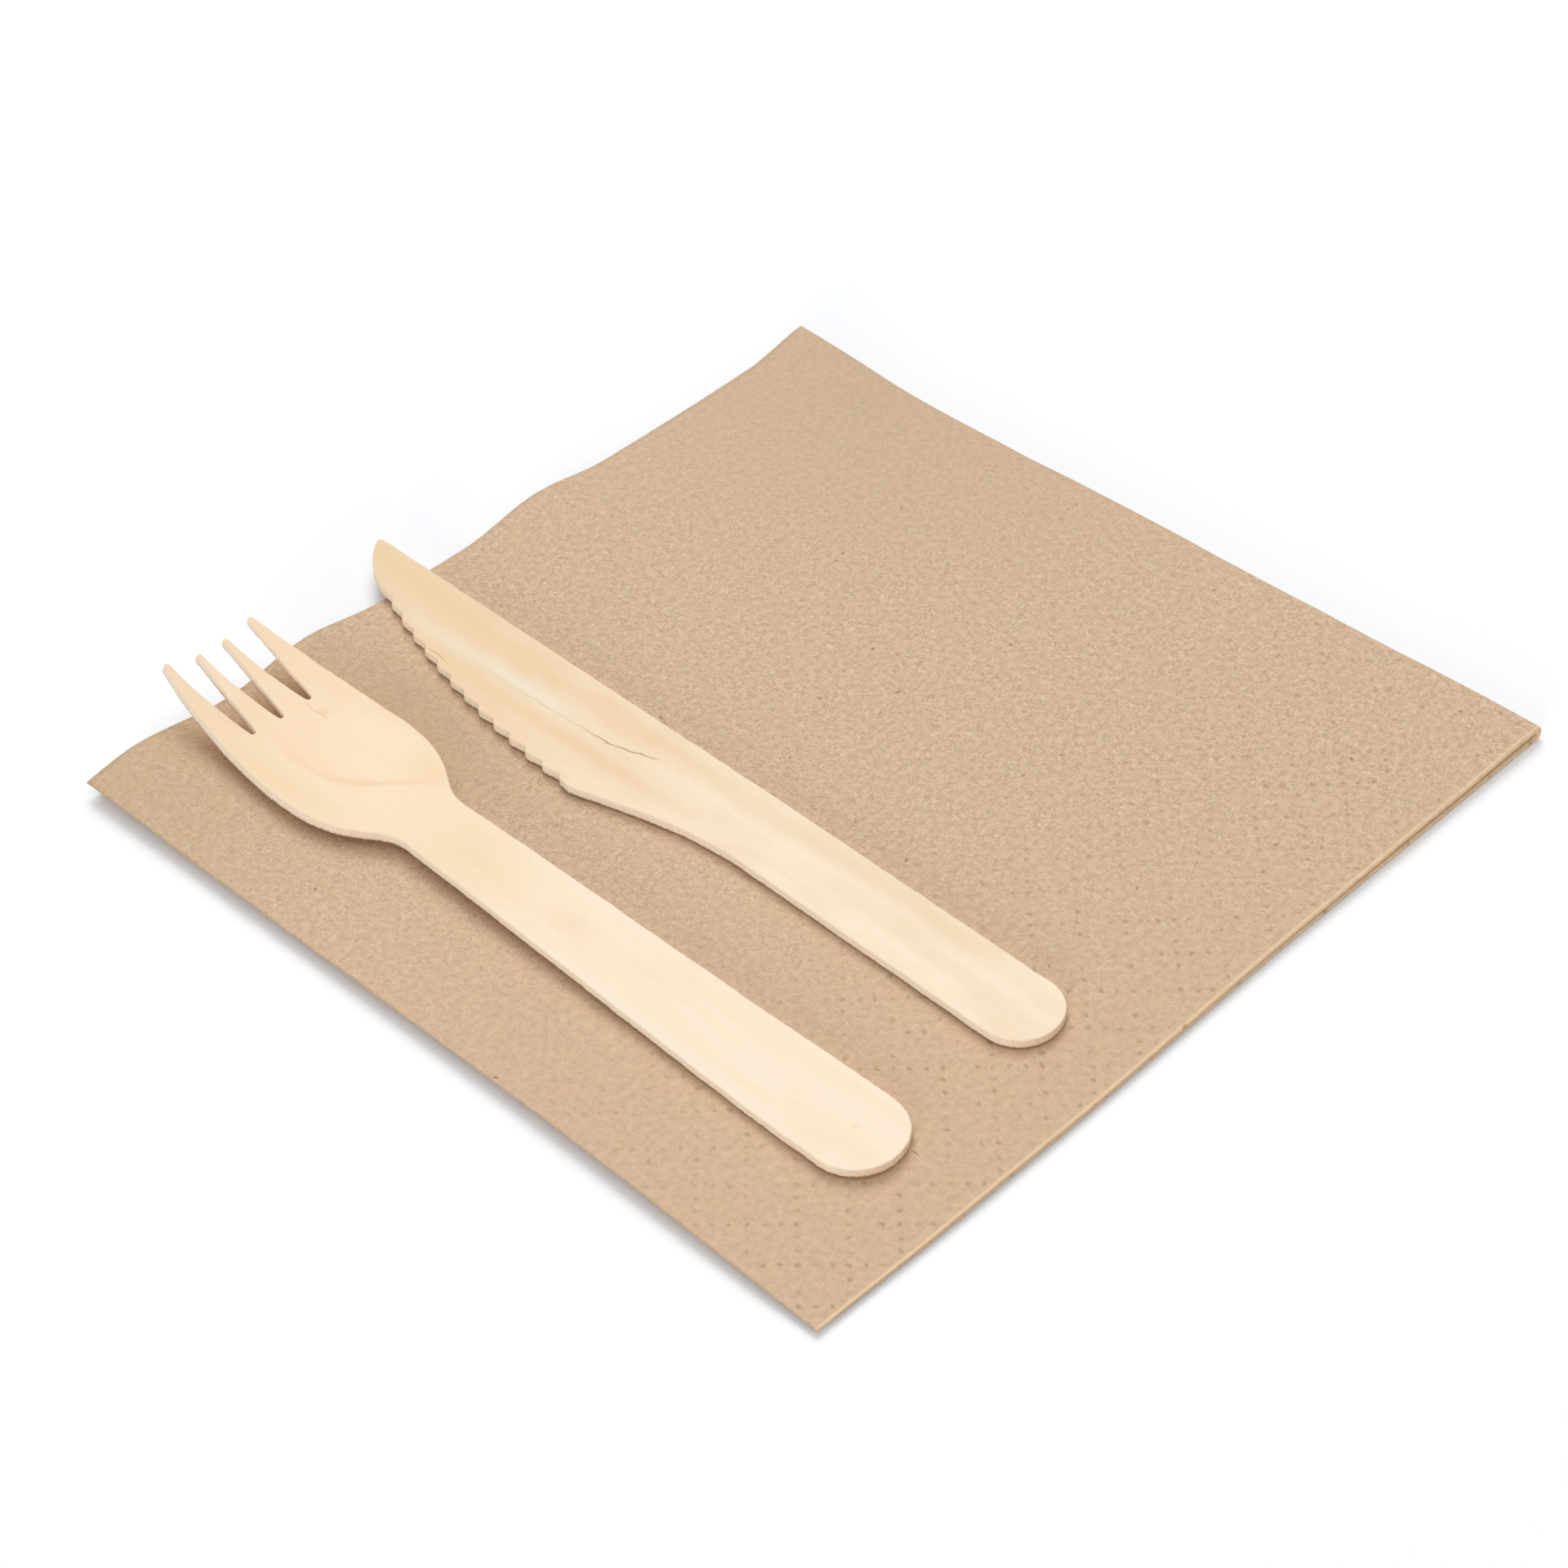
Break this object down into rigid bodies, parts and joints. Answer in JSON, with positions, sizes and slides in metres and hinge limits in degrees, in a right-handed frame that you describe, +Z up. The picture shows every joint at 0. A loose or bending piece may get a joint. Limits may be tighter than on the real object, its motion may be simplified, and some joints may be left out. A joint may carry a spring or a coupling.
{
  "type": "wooden cutlery set",
  "caption": "Disposable wooden fork and serrated wooden knife lying side by side on a folded square napkin of unbleached kraft paper.",
  "frame": {"origin": "middle of the folded napkin, on its underside, where it lies on the table", "axes": "+Z up from the table, +Y from the handles to the tips, +X from the fork to the knife"},
  "size_m": [0.1674, 0.1753, 0.0115],
  "materials": {
    "fork": "bare birch veneer, tumbled smooth",
    "knife": "bare birch veneer, tumbled smooth",
    "napkin": "unbleached kraft tissue with small embossed dots, matte"
  },
  "bodies": {
    "root": {"fork": "fork", "knife": "knife", "napkin": "napkin"}
  },
  "joints": []
}
